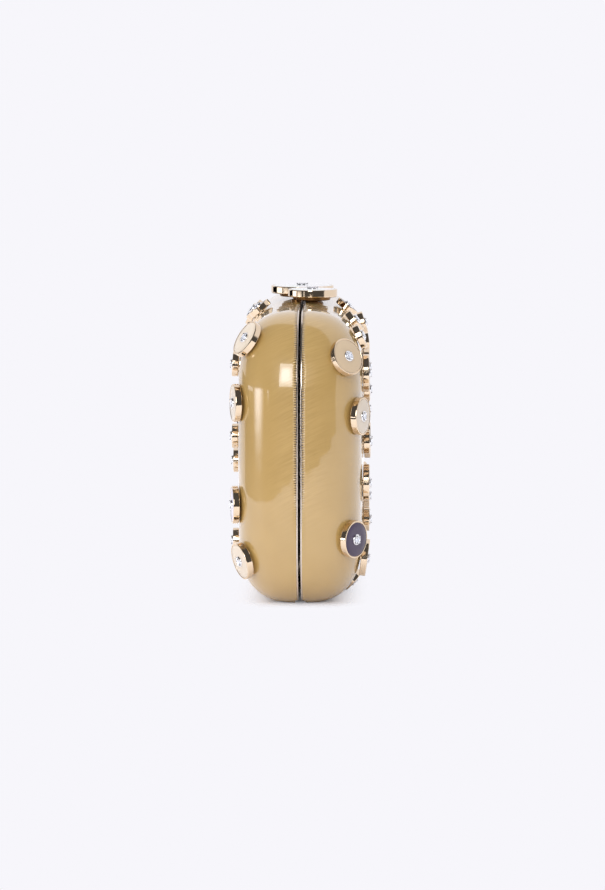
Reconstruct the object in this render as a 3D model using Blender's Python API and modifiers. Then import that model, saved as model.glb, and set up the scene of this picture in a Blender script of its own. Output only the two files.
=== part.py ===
"""Hard-shell evening clutch with enamelled discs, for Blender 4.5, in metres with +Z up.

Two moulded half shells stand on their long edge and meet at a metal frame. A pin hinge joins the
frames along the bottom, a kiss lock of two large discs closes them on top, and small enamelled
discs with a stone in the middle are riveted all over both faces. X runs along the case, the front
face looks towards -Y, and the origin is on the floor under the middle of the case.
"""

import math

import bmesh
import bpy
from mathutils import Matrix, Vector

# Case
case_length = 0.178
case_height = 0.1156
corner_radius = 0.030
shell_depth = 0.0225
shell_edge = 0.025
shell_wall = 0.0017
face_crown = 0.0012
land_depth = 0.0008
seam_gap = 0.0009
fit_gap = 0.0003
overrun = 0.002

# The shell's roll from its edge to its face follows a superellipse of this power.
roll_power = 2.5
corner_segments = 5
roll_steps = 6
crown_ring_shares = (0.66, 0.33)

# Frame
rim_thickness = 0.0007
web_depth = 0.0031
web_height = 0.0016
web_gap = 0.0006

# Lining tray
lining_gap = 0.0005
lining_wall = 0.0010

# Hinge
pin_radius = 0.0007
knuckle_wall = 0.0006
knuckle_lift = 0.00015
hinge_length = 0.072
knuckle_count = 5
knuckle_sides = 12
pocket_gap = 0.0005
leaf_thickness = 0.0008
leaf_reach = 0.0040
tongue_drop = 0.0009
pin_overhang = 0.0008
pocket_end_gap = 0.0012

# Face discs
large_radius = 0.0074
small_radius = 0.0049
disc_thickness = 0.0025
stone_radius = 0.0016
bezel_radius = 0.0022
stone_height = 0.0010
stud_radius = 0.0013
large_sides = 14
small_sides = 12
hole_sides = 8

# Kiss lock: the back disc is the wider one, and each disc leans past the seam by its own amount.
# They pass each other side by side.
back_clasp_radius = 0.0131
front_clasp_radius = 0.0101
back_clasp_lean = 0.0007
front_clasp_lean = 0.0040
clasp_thickness = 0.0030
clasp_pass_gap = 0.0004
clasp_lift = 0.0023
clasp_sides = 24
clasp_stone_radius = 0.0019
clasp_stone_table = 0.0012
clasp_stone_height = 0.0010
clasp_seat_depth = 0.0008
post_foot_radius = 0.0021
post_foot_height = 0.0007
post_neck_radius = 0.0014
post_spigot_radius = 0.0010
post_spigot_height = 0.0014
post_pin_radius = 0.0009
post_sides = 12

# Points of a turned piece closer than this are one point.
weld_gap = 0.00001

# Each disc: its place as shares of half the length and of the height, then its size and its enamel.
# Both faces carry the shared discs, the front ones turned half round with the rest of their half.
shared_place_shares = (
    (0.907, 0.853, "large", "gold_enamel"),
    (0.867, 0.656, "large", "cream_enamel"),
    (0.913, 0.243, "large", "plum_enamel"),
    (0.640, 0.905, "small", "cream_enamel"),
    (0.640, 0.785, "large", "cream_enamel"),
    (0.430, 0.713, "small", "plum_enamel"),
    (0.600, 0.544, "small", "gold_enamel"),
    (0.665, 0.408, "large", "cream_enamel"),
    (0.450, 0.259, "small", "gold_enamel"),
    (0.690, 0.154, "large", "cream_enamel"),
    (0.420, 0.050, "small", "plum_enamel"),
    (0.330, 0.936, "small", "gold_enamel"),
    (-0.050, 0.962, "small", "plum_enamel"),
    (0.110, 0.505, "large", "cream_enamel"),
)
back_place_shares = (
    (-0.300, 0.740, "large", "gold_enamel"),
    (-0.220, 0.270, "large", "lilac_enamel"),
    (-0.800, 0.800, "large", "cream_enamel"),
    (-0.560, 0.880, "small", "gold_enamel"),
    (-0.850, 0.540, "large", "cream_enamel"),
    (-0.580, 0.560, "small", "plum_enamel"),
    (-0.830, 0.270, "large", "lilac_enamel"),
    (-0.560, 0.170, "small", "cream_enamel"),
)
front_place_shares = (
    (-0.809, 0.905, "large", "cream_enamel"),
    (-0.600, 0.811, "small", "gold_enamel"),
    (-0.820, 0.696, "large", "cream_enamel"),
    (-0.560, 0.560, "small", "cream_enamel"),
    (-0.360, 0.456, "small", "gold_enamel"),
    (-0.790, 0.345, "large", "lilac_enamel"),
    (-0.520, 0.192, "small", "plum_enamel"),
    (-0.863, 0.165, "large", "cream_enamel"),
)

# Colour, metallic share and roughness of each finish
finishes = {
    "patent_leather": ((0.560, 0.376, 0.133), 0.0, 0.12),
    "pale_brass": ((0.830, 0.680, 0.430), 1.0, 0.16),
    "plum_satin": ((0.075, 0.028, 0.060), 0.0, 0.55),
    "cream_enamel": ((0.720, 0.610, 0.480), 0.0, 0.15),
    "gold_enamel": ((0.670, 0.510, 0.300), 0.0, 0.18),
    "plum_enamel": ((0.069, 0.047, 0.122), 0.0, 0.15),
    "lilac_enamel": ((0.580, 0.540, 0.670), 0.0, 0.15),
    "pearl_enamel": ((0.700, 0.710, 0.730), 0.0, 0.15),
    "cut_glass": ((0.900, 0.920, 0.950), 0.0, 0.05),
}

# Places that follow from the sizes above
middle_height = (case_height - land_depth) / 2
frame_back = seam_gap / 2
shell_base = frame_back + rim_thickness + fit_gap
web_inset = shell_wall + web_gap
web_back = frame_back + rim_thickness + web_depth
lining_inset = shell_wall + lining_gap
lining_base = web_back + fit_gap
knuckle_radius = pin_radius + fit_gap + knuckle_wall
hinge_height = knuckle_radius + knuckle_lift
groove_half = knuckle_radius + pocket_gap
web_top = web_inset + web_height - land_depth
leaf_bottom = web_top + fit_gap
leaf_top = leaf_bottom + leaf_thickness
post_inset = frame_back + rim_thickness + web_depth / 2
back_clasp_step = back_clasp_radius + clasp_pass_gap / 2
front_clasp_step = front_clasp_radius + clasp_pass_gap / 2
clasp_bottom = case_height + clasp_lift

parts = bpy.data.collections.new("enamel_clutch")
cutters = bpy.data.collections.new("cutters")


def clear_scene():
    """Remove what the scene holds and link this model's two collections."""
    for old in list(bpy.data.objects):
        bpy.data.objects.remove(old, do_unlink=True)
    bpy.context.scene.collection.children.link(parts)
    bpy.context.scene.collection.children.link(cutters)


def make_finishes():
    """Make one Principled material for each finish."""
    for name, (colour, metallic, roughness) in finishes.items():
        material = bpy.data.materials.new(name)
        material.use_nodes = True
        shader = material.node_tree.nodes["Principled BSDF"]
        shader.inputs["Base Color"].default_value = (*colour, 1)
        shader.inputs["Metallic"].default_value = metallic
        shader.inputs["Roughness"].default_value = roughness


def add_half(name, turn):
    """Add the empty that carries one half, on the hinge's axis."""
    half = bpy.data.objects.new(name, None)
    parts.objects.link(half)
    half.location = (0, 0, hinge_height)
    half.rotation_euler = (0, 0, turn)
    return half


def carry(obj, half, collection, place=Matrix()):
    """Link an object and hang it on its half. Its place is that of the back half, before any turn."""
    collection.objects.link(obj)
    obj.parent = half
    obj.matrix_local = Matrix.Translation((0, 0, -hinge_height)) @ place
    return obj


def closed_mesh(name, bm):
    """Turn a closed bmesh into a mesh whose faces all point outwards."""
    bmesh.ops.recalc_face_normals(bm, faces=bm.faces[:])
    if bm.calc_volume(signed=True) < 0:
        bmesh.ops.reverse_faces(bm, faces=bm.faces[:])
    mesh = bpy.data.meshes.new(name)
    bm.to_mesh(mesh)
    bm.free()
    return mesh


def add_part(name, bm, half, finish, place=Matrix()):
    """Turn a bmesh into a finished part of one half."""
    mesh = closed_mesh(name, bm)
    mesh.materials.append(bpy.data.materials[finish])
    return carry(bpy.data.objects.new(name, mesh), half, parts, place)


def add_cutter(name, bm, half, place=Matrix()):
    """Turn a bmesh into a helper that only Booleans use."""
    helper = carry(bpy.data.objects.new(name, closed_mesh(name, bm)), half, cutters, place)
    helper.hide_render = True
    helper.display_type = "WIRE"
    return helper


def combine(obj, helper, operation="DIFFERENCE"):
    """Cut an object with a helper, or join the helper to it."""
    boolean = obj.modifiers.new(helper.name, "BOOLEAN")
    boolean.operation = operation
    boolean.object = helper


def add_box(bm, low, high):
    """Add a box between two corners."""
    low, high = Vector(low), Vector(high)
    size = high - low
    place = Matrix.Translation((low + high) / 2) @ Matrix.Diagonal((*size, 1))
    bmesh.ops.create_cube(bm, size=1, matrix=place)


def add_rod(bm, radius, length, sides, place):
    """Add a many-sided rod along the local Z of its place, with this radius to its flats."""
    reach = radius / math.cos(math.pi / sides)
    bmesh.ops.create_cone(
        bm, cap_ends=True, segments=sides, radius1=reach, radius2=reach, depth=length, matrix=place
    )


def smooth(obj, angle=math.radians(35)):
    """Shade an object smooth except where its faces meet at a sharp angle."""
    obj.data.shade_smooth()
    obj.data.set_sharp_from_angle(angle=angle)


def turned(name, profile, sides, half, finish, place):
    """Add a part turned about its local Z from a profile of radius and height, top first."""
    bm = bmesh.new()
    points = [bm.verts.new((radius, 0, height)) for radius, height in profile]
    for first, second in zip(points, points[1:]):
        bm.edges.new((first, second))
    mesh = bpy.data.meshes.new(name)
    bm.to_mesh(mesh)
    bm.free()
    mesh.materials.append(bpy.data.materials[finish])
    obj = carry(bpy.data.objects.new(name, mesh), half, parts, place)
    screw = obj.modifiers.new("turn", "SCREW")
    screw.steps = sides
    screw.render_steps = sides
    screw.use_merge_vertices = True
    screw.merge_threshold = weld_gap
    screw.use_smooth_shade = False
    return obj


class Bowl:
    """A moulded half form: a rounded oblong outline that rolls over into a slightly domed face."""

    def __init__(self, inset, base):
        self.half_x = case_length / 2 - inset
        self.half_z = (case_height + land_depth) / 2 - inset
        self.radius = corner_radius - inset
        self.edge = shell_edge - inset
        self.depth = shell_depth - inset
        self.base = base

    def inset_at(self, x, z):
        """Give how far a place lies inside the outline."""
        beyond_x = abs(x) - self.half_x + self.radius
        beyond_z = abs(z - middle_height) - self.half_z + self.radius
        corner = math.hypot(max(beyond_x, 0), max(beyond_z, 0))
        return self.radius - corner - min(max(beyond_x, beyond_z), 0)

    def depth_at(self, x, z):
        """Give the form's distance from the seam plane at a place on the face."""
        share = min(max(self.inset_at(x, z) / self.edge, 0), 1)
        roll = self.depth * (1 - (1 - share) ** roll_power) ** (1 / roll_power)
        across = 1 - (x / self.half_x) ** 2
        upright = 1 - ((z - middle_height) / self.half_z) ** 2
        return max(shell_base + roll + face_crown * across * upright, self.base)

    def normal_at(self, x, z):
        """Give the form's outward direction at a place on the face."""
        step = fit_gap
        slope_x = (self.depth_at(x + step, z) - self.depth_at(x - step, z)) / (2 * step)
        slope_z = (self.depth_at(x, z + step) - self.depth_at(x, z - step)) / (2 * step)
        return Vector((-slope_x, 1, -slope_z)).normalized()

    def outline(self, bm):
        """Add the outline as one flat face at the base, and return it."""
        turn = Matrix.Rotation(math.pi / 2, 4, "X")
        size = Matrix.Diagonal((self.half_x, self.half_z, 1, 1))
        place = Matrix.Translation((0, self.base, middle_height)) @ turn @ size
        corners = bmesh.ops.create_grid(bm, x_segments=1, y_segments=1, size=1, matrix=place)["verts"]
        rounded = bmesh.ops.bevel(
            bm,
            geom=corners,
            offset=self.radius,
            segments=corner_segments,
            profile=0.5,
            affect="VERTICES",
            material=-1,
        )
        return max(rounded["verts"][0].link_faces, key=lambda face: face.calc_area())

    def surface(self, bm):
        """Add the rolled and domed surface, open at the base."""
        face = self.outline(bm)
        done = 0
        for step in range(1, roll_steps + 1):
            turn = math.pi / 2 * step / roll_steps
            reach = self.edge * (1 - math.cos(turn) ** (2 / roll_power))
            bmesh.ops.inset_region(
                bm, faces=[face], thickness=reach - done, use_boundary=True, use_even_offset=True
            )
            done = reach
        size = 1
        for share in crown_ring_shares:
            face = bmesh.ops.extrude_discrete_faces(bm, faces=[face])["faces"][0]
            bmesh.ops.scale(
                bm,
                vec=(share / size, 1, share / size),
                space=Matrix.Translation((0, 0, -middle_height)),
                verts=face.verts[:],
            )
            size = share
        bmesh.ops.poke(bm, faces=[face])
        for corner in bm.verts:
            if not corner.is_boundary:
                corner.co.y = self.depth_at(corner.co.x, corner.co.z)


def tray(inset, wall, base):
    """Make a closed tray between two nested forms."""
    outer, inner = bmesh.new(), bmesh.new()
    Bowl(inset, base).surface(outer)
    Bowl(inset + wall, base).surface(inner)
    bmesh.ops.reverse_faces(inner, faces=inner.faces[:])
    mesh = bpy.data.meshes.new("inner_form")
    inner.to_mesh(mesh)
    inner.free()
    outer.from_mesh(mesh)
    bpy.data.meshes.remove(mesh)
    rims = [edge for edge in outer.edges if edge.is_boundary]
    bmesh.ops.bridge_loops(outer, edges=rims)
    return outer


def cut_land(bm):
    """Cut a form flat where it stands on the floor."""
    everything = bm.verts[:] + bm.edges[:] + bm.faces[:]
    cut = bmesh.ops.bisect_plane(
        bm, geom=everything, plane_co=(0, 0, 0), plane_no=(0, 0, -1), clear_outer=True
    )
    edges = [piece for piece in cut["geom_cut"] if isinstance(piece, bmesh.types.BMEdge)]
    bmesh.ops.edgeloop_fill(bm, edges=edges)


def add_grooves(half, label):
    """Make the helpers that clear the hinge: a lip groove along the seam and a pocket at the knuckles."""
    lip = bmesh.new()
    reach = case_length / 2 + overrun
    add_box(lip, (-reach, -groove_half, -land_depth - overrun), (reach, groove_half, hinge_height))
    pocket = bmesh.new()
    reach = hinge_length / 2 + pocket_end_gap
    top = leaf_top + fit_gap
    add_box(pocket, (-reach, -groove_half, -land_depth - overrun), (reach, groove_half, top))
    return (
        add_cutter(label + "_lip_groove", lip, half),
        add_cutter(label + "_hinge_pocket", pocket, half),
    )


def seat_matrix(bowl, place_shares):
    """Give the place of a disc's seat: on the form, with local Z along the outward direction."""
    x = place_shares[0] * case_length / 2
    z = place_shares[1] * case_height
    normal = bowl.normal_at(x, z)
    foot = Vector((x, bowl.depth_at(x, z), z))
    turn = normal.to_track_quat("Z", "Y").to_matrix().to_4x4()
    return Matrix.Translation(foot) @ turn


def add_stud_holes(half, label, seats):
    """Make the helper that drills a hole for every disc's stud."""
    bm = bmesh.new()
    for seat in seats:
        add_rod(bm, stud_radius + fit_gap, 2 * (shell_wall + overrun), hole_sides, seat)
    return add_cutter(label + "_stud_holes", bm, half)


def add_post_hole(half, label, step):
    """Make the helper that drills the shell and the frame for the kiss lock's post."""
    bm = bmesh.new()
    middle = case_height - web_inset - web_height / 2
    place = Matrix.Translation((-step, post_inset, middle))
    add_rod(bm, post_pin_radius + fit_gap, 2 * (web_inset + web_height), hole_sides, place)
    return add_cutter(label + "_post_hole", bm, half)


def add_shell(half, label, holes):
    """Add one moulded half shell with its holes."""
    bm = tray(0, shell_wall, shell_base)
    cut_land(bm)
    shell = add_part(label + "_shell", bm, half, "patent_leather")
    smooth(shell)
    for helper in holes:
        combine(shell, helper)


def add_frame(half, label, holes):
    """Add one metal frame: a rim that shows at the seam and a web that sits inside the shell."""
    bm = bmesh.new()
    face = Bowl(0, frame_back).outline(bm)
    ledge = bmesh.ops.inset_region(
        bm, faces=[face], thickness=web_inset, use_boundary=True, use_even_offset=True
    )["faces"]
    web = bmesh.ops.inset_region(
        bm, faces=[face], thickness=web_height, use_boundary=True, use_even_offset=True
    )["faces"]
    for piece in web:
        piece.material_index = 1
    bmesh.ops.delete(bm, geom=[face], context="FACES_ONLY")
    rim = bmesh.ops.extrude_face_region(bm, geom=ledge + web)["geom"]
    corners = [piece for piece in rim if isinstance(piece, bmesh.types.BMVert)]
    bmesh.ops.translate(bm, vec=(0, rim_thickness, 0), verts=corners)
    raised = [piece for piece in rim if isinstance(piece, bmesh.types.BMFace) and piece.material_index]
    raised += {edge for piece in raised for edge in piece.edges}
    top = bmesh.ops.extrude_face_region(bm, geom=raised)["geom"]
    corners = [piece for piece in top if isinstance(piece, bmesh.types.BMVert)]
    bmesh.ops.translate(bm, vec=(0, web_depth, 0), verts=corners)
    for piece in bm.faces:
        piece.material_index = 0
    cut_land(bm)
    frame = add_part(label + "_frame", bm, half, "pale_brass")
    for helper in holes:
        combine(frame, helper)


def add_lining(half, label):
    """Add the thin tray that lines one half."""
    smooth(add_part(label + "_lining", tray(lining_inset, lining_wall, lining_base), half, "plum_satin"))


def knuckle_spans(first):
    """Give the ends along X of every other knuckle, from the given one."""
    pitch = hinge_length / knuckle_count
    low = -hinge_length / 2
    for index in range(first, knuckle_count, 2):
        start = low + pitch * index + fit_gap / 2
        yield start, start + pitch - fit_gap


def add_leaf(half, label, first):
    """Add one hinge leaf: a strip on the frame's web with knuckles round the pin."""
    strip = bmesh.new()
    inner_edge = knuckle_radius - fit_gap
    reach = hinge_length / 2
    add_box(strip, (-reach, inner_edge, leaf_bottom), (reach, leaf_reach, leaf_top))
    leaf = add_part(label + "_hinge_leaf", strip, half, "pale_brass")
    knuckles, tongues = bmesh.new(), bmesh.new()
    for start, end in knuckle_spans(first):
        turn = Matrix.Rotation(math.pi / 2, 4, "Y")
        place = Matrix.Translation(((start + end) / 2, 0, hinge_height)) @ turn
        across_flats = knuckle_radius * math.cos(math.pi / knuckle_sides)
        add_rod(knuckles, across_flats, end - start, knuckle_sides, place)
        low = (start + fit_gap, 0, leaf_bottom - tongue_drop)
        high = (end - fit_gap, inner_edge + fit_gap, leaf_top)
        add_box(tongues, low, high)
    combine(leaf, add_cutter(label + "_tongues", tongues, half), "UNION")
    combine(leaf, add_cutter(label + "_knuckles", knuckles, half), "UNION")
    bore = bmesh.new()
    place = Matrix.Translation((0, 0, hinge_height)) @ Matrix.Rotation(math.pi / 2, 4, "Y")
    add_rod(bore, pin_radius + fit_gap, hinge_length + 2 * overrun, knuckle_sides, place)
    combine(leaf, add_cutter(label + "_bore", bore, half))


def add_hinge_pin(half):
    """Add the pin that runs through all the knuckles, with a rounded end on each side."""
    reach = hinge_length / 2 + pin_overhang
    round_end = pin_radius / 2
    profile = (
        (0, reach),
        (pin_radius - round_end, reach),
        (pin_radius, reach - round_end),
        (pin_radius, round_end - reach),
        (pin_radius - round_end, -reach),
        (0, -reach),
    )
    place = Matrix.Translation((0, 0, hinge_height)) @ Matrix.Rotation(math.pi / 2, 4, "Y")
    turned("hinge_pin", profile, knuckle_sides, half, "pale_brass", place)


def add_disc(half, name, seat, radius, sides, finish):
    """Add one enamelled disc: a stud in the shell, a flat plate and a stone in its bezel on top."""
    face = fit_gap + disc_thickness
    profile = (
        (0, face + stone_height),
        (stone_radius, face + stone_height),
        (bezel_radius, face),
        (radius, face),
        (radius, fit_gap),
        (stud_radius, fit_gap),
        (stud_radius, -shell_wall),
        (0, -shell_wall),
    )
    turned(name, profile, sides, half, finish, seat)


def add_kiss_lock(half, label, radius, step, lean):
    """Add one half of the kiss lock: a post on this frame, and a disc that reaches past the seam."""
    under = clasp_bottom - case_height
    profile = (
        (0, under + post_spigot_height),
        (post_spigot_radius, under + post_spigot_height),
        (post_spigot_radius, under - fit_gap),
        (post_neck_radius, under - fit_gap),
        (post_neck_radius, fit_gap + post_foot_height),
        (post_foot_radius, fit_gap + post_foot_height),
        (post_foot_radius, fit_gap),
        (post_pin_radius, fit_gap),
        (post_pin_radius, -web_inset - web_height),
        (0, -web_inset - web_height),
    )
    place = Matrix.Translation((-step, post_inset, case_height))
    turned(label + "_clasp_post", profile, post_sides, half, "pale_brass", place)

    seat = clasp_thickness - clasp_seat_depth
    recess = clasp_stone_radius + fit_gap
    profile = (
        (0, seat),
        (recess, seat),
        (recess, clasp_thickness),
        (radius, clasp_thickness),
        (radius, 0),
        (0, 0),
    )
    place = Matrix.Translation((-step, -lean, clasp_bottom))
    disc = turned(label + "_clasp_disc", profile, clasp_sides, half, "pearl_enamel", place)
    socket = bmesh.new()
    deep = post_spigot_height + fit_gap
    middle = Matrix.Translation((-step, post_inset, clasp_bottom + (deep - overrun) / 2))
    add_rod(socket, post_spigot_radius + fit_gap, deep + overrun, post_sides, middle)
    combine(disc, add_cutter(label + "_clasp_socket", socket, half))

    profile = (
        (0, clasp_thickness + clasp_stone_height),
        (clasp_stone_table, clasp_thickness + clasp_stone_height),
        (clasp_stone_radius, clasp_thickness),
        (clasp_stone_radius, seat + fit_gap),
        (0, seat + fit_gap),
    )
    turned(label + "_clasp_stone", profile, post_sides, half, "cut_glass", place)


def add_discs(half, label, seats, place_shares):
    """Add every disc of one face."""
    radii = {"large": large_radius, "small": small_radius}
    sides = {"large": large_sides, "small": small_sides}
    for index, (seat, (_, _, size, finish)) in enumerate(zip(seats, place_shares), start=1):
        add_disc(half, f"{label}_disc_{index:02d}", seat, radii[size], sides[size], finish)


def build_half(label, turn, first_knuckle, own_place_shares, clasp):
    """Build one half of the case. Its clasp is the radius, the step along the seam and the lean."""
    half = add_half(label + "_half", turn)
    grooves = add_grooves(half, label)
    post_hole = add_post_hole(half, label, clasp[1])
    outer = Bowl(0, shell_base)
    place_shares = shared_place_shares + own_place_shares
    seats = [seat_matrix(outer, shares) for shares in place_shares]
    add_shell(half, label, (*grooves, post_hole, add_stud_holes(half, label, seats)))
    add_frame(half, label, (*grooves, post_hole))
    add_lining(half, label)
    add_leaf(half, label, first_knuckle)
    add_discs(half, label, seats, place_shares)
    add_kiss_lock(half, label, *clasp)
    return half


clear_scene()
make_finishes()
back_clasp = (back_clasp_radius, back_clasp_step, back_clasp_lean)
front_clasp = (front_clasp_radius, front_clasp_step, front_clasp_lean)
back_half = build_half("back", 0, 0, back_place_shares, back_clasp)
build_half("front", math.pi, 1, front_place_shares, front_clasp)
add_hinge_pin(back_half)
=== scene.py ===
"""Looks of a hard-shell evening clutch with enamelled discs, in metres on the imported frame.

Two glossy half shells meet at a pale gold frame, a kiss lock of two large discs closes them, and
small enamelled discs with a crystal in the middle are set all over both faces. X runs along the
case, the front face looks towards -Y, and the floor is at Z = 0.
"""

import logging
import math
from dataclasses import dataclass
from enum import Enum
from typing import Any, Iterable

import bmesh
import bpy
from mathutils import Euler, Matrix, Vector


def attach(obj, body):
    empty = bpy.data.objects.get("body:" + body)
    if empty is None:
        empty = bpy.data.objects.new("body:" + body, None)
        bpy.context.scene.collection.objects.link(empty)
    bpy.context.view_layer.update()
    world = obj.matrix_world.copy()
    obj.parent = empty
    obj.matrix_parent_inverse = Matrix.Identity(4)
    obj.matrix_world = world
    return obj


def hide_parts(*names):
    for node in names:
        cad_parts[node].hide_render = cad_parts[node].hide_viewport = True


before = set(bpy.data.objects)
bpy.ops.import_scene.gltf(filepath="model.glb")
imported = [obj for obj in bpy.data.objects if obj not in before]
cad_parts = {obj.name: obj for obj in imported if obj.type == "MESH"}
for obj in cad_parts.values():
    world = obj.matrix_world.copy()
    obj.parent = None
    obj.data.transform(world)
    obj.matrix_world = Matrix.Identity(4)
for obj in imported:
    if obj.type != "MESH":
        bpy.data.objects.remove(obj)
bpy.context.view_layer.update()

log = logging.getLogger("clutch")

BMesh = bmesh.types.BMesh
Edges = list[bmesh.types.BMEdge]
Tree = bpy.types.NodeTree
Socket = bpy.types.NodeSocket
Settings = dict[str | int, Any]
Pair = tuple[float, float]
Point = tuple[float, float, float]
Profile = tuple[Pair, ...]

QUARTER = math.pi / 2
PAPER = "#F7F6FB"
# How far a piece reaches into the one that it lies on, so that no gap shows between them.
OVERLAP = 0.00001


class Half(Enum):
    """A half of the case: its label and how far it is turned about Z."""

    BACK = ("back", 0.0)
    FRONT = ("front", math.pi)

    @property
    def label(self) -> str:
        """Give the start of this half's names."""
        return self.value[0]

    @property
    def body(self) -> str:
        """Give the CAD body that carries this half."""
        return self.value[0] + "_half"

    @property
    def place(self) -> Matrix:
        """Give the turn from the back half's place to this one's."""
        return Matrix.Rotation(self.value[1], 4, "Z")


class DiscSize(Enum):
    """The two sizes of face disc: the radius and the sides that draw it round."""

    LARGE = (0.0074, 96)
    SMALL = (0.0049, 72)


class Tone(Enum):
    """The enamel colours of the face discs: a name and an sRGB colour."""

    CREAM = ("cream_enamel", "#D6C7B3")
    GOLD = ("gold_enamel", "#C7B091")
    PLUM = ("plum_enamel", "#2A0F3A")
    LILAC = ("lilac_enamel", "#C4BDD2")


LARGE, SMALL = DiscSize
CREAM, GOLD, PLUM, LILAC = Tone

# Each disc: its place as shares of half the length and of the height, its size and its enamel.
SHARED_DISCS = (
    (0.907, 0.853, LARGE, GOLD), (0.867, 0.656, LARGE, CREAM), (0.913, 0.243, LARGE, PLUM),
    (0.640, 0.905, SMALL, CREAM), (0.640, 0.785, LARGE, CREAM), (0.430, 0.713, SMALL, PLUM),
    (0.600, 0.544, SMALL, GOLD), (0.665, 0.408, LARGE, CREAM), (0.450, 0.259, SMALL, GOLD),
    (0.690, 0.154, LARGE, CREAM), (0.420, 0.050, SMALL, PLUM), (0.330, 0.936, SMALL, GOLD),
    (-0.050, 0.962, SMALL, PLUM), (0.110, 0.505, LARGE, CREAM),
)
OWN_DISCS = {
    Half.BACK: (
        (-0.300, 0.740, LARGE, GOLD), (-0.220, 0.270, LARGE, LILAC), (-0.800, 0.800, LARGE, CREAM),
        (-0.560, 0.880, SMALL, GOLD), (-0.850, 0.540, LARGE, CREAM), (-0.580, 0.560, SMALL, PLUM),
        (-0.830, 0.270, LARGE, LILAC), (-0.560, 0.170, SMALL, CREAM),
    ),
    Half.FRONT: (
        (-0.809, 0.905, LARGE, CREAM), (-0.600, 0.811, SMALL, GOLD), (-0.820, 0.696, LARGE, CREAM),
        (-0.560, 0.560, SMALL, CREAM), (-0.360, 0.456, SMALL, GOLD), (-0.790, 0.345, LARGE, LILAC),
        (-0.520, 0.192, SMALL, PLUM), (-0.863, 0.165, LARGE, CREAM),
    ),
}

# The clasp's disc of each half: its radius and how far its middle lies past the seam.
CLASP_DISCS = {Half.BACK: (0.0131, 0.0007), Half.FRONT: (0.0101, 0.0040)}


def linear(code: str, share: float = 1.0) -> tuple[float, float, float, float]:
    """Turn an sRGB hex colour to a linear one.

    Args:
        code: The colour as "#RRGGBB".
        share: What the colour is multiplied by to make it lighter or darker.

    Returns:
        Red, green, blue and an alpha of 1.
    """
    coded = (int(code[start : start + 2], 16) / 255 for start in (1, 3, 5))
    red, green, blue = (c / 12.92 if c <= 0.04045 else ((c + 0.055) / 1.055) ** 2.4 for c in coded)
    return red * share, green * share, blue * share, 1.0


def set_up(tree: Tree, node: bpy.types.Node, settings: Settings) -> None:
    """Set a node's values and link the sockets that are given for its inputs.

    Args:
        tree: The tree that holds the node.
        node: The node.
        settings: Values or sockets by property name, input name or input number.
    """
    for name, value in settings.items():
        if isinstance(value, Socket):
            tree.links.new(value, node.inputs[name])
        elif isinstance(name, str) and hasattr(node, name):
            setattr(node, name, value)
        else:
            node.inputs[name].default_value = value


def add_node(tree: Tree, kind: str, settings: Settings | None = None, output: str | int = 0) -> Socket:
    """Add a node with its settings and links.

    Args:
        tree: The tree that gets the node.
        kind: The node's type after "ShaderNode", such as "TexNoise".
        settings: Values or sockets by property name, input name or input number.
        output: The name or number of the output that is wanted.

    Returns:
        That output of the new node.
    """
    node = tree.nodes.new("ShaderNode" + kind)
    set_up(tree, node, settings or {})
    return node.outputs[output]


class Finish:
    """A finish of the real object, which makes its own material."""

    name: str

    def look(self, tree: Tree, place: Socket) -> Settings:
        """Add the finish's patterns.

        Args:
            tree: The material's nodes.
            place: The piece's own coordinates.

        Returns:
            Values and sockets by the shader's inputs.
        """
        raise NotImplementedError

    def make(self) -> bpy.types.Material:
        """Make the material.

        Returns:
            The material, under the finish's name.
        """
        material = bpy.data.materials.new(self.name)
        material.use_nodes = True
        tree = material.node_tree
        place = add_node(tree, "TexCoord", output="Object")
        set_up(tree, tree.nodes["Principled BSDF"], self.look(tree, place))
        return material


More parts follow.
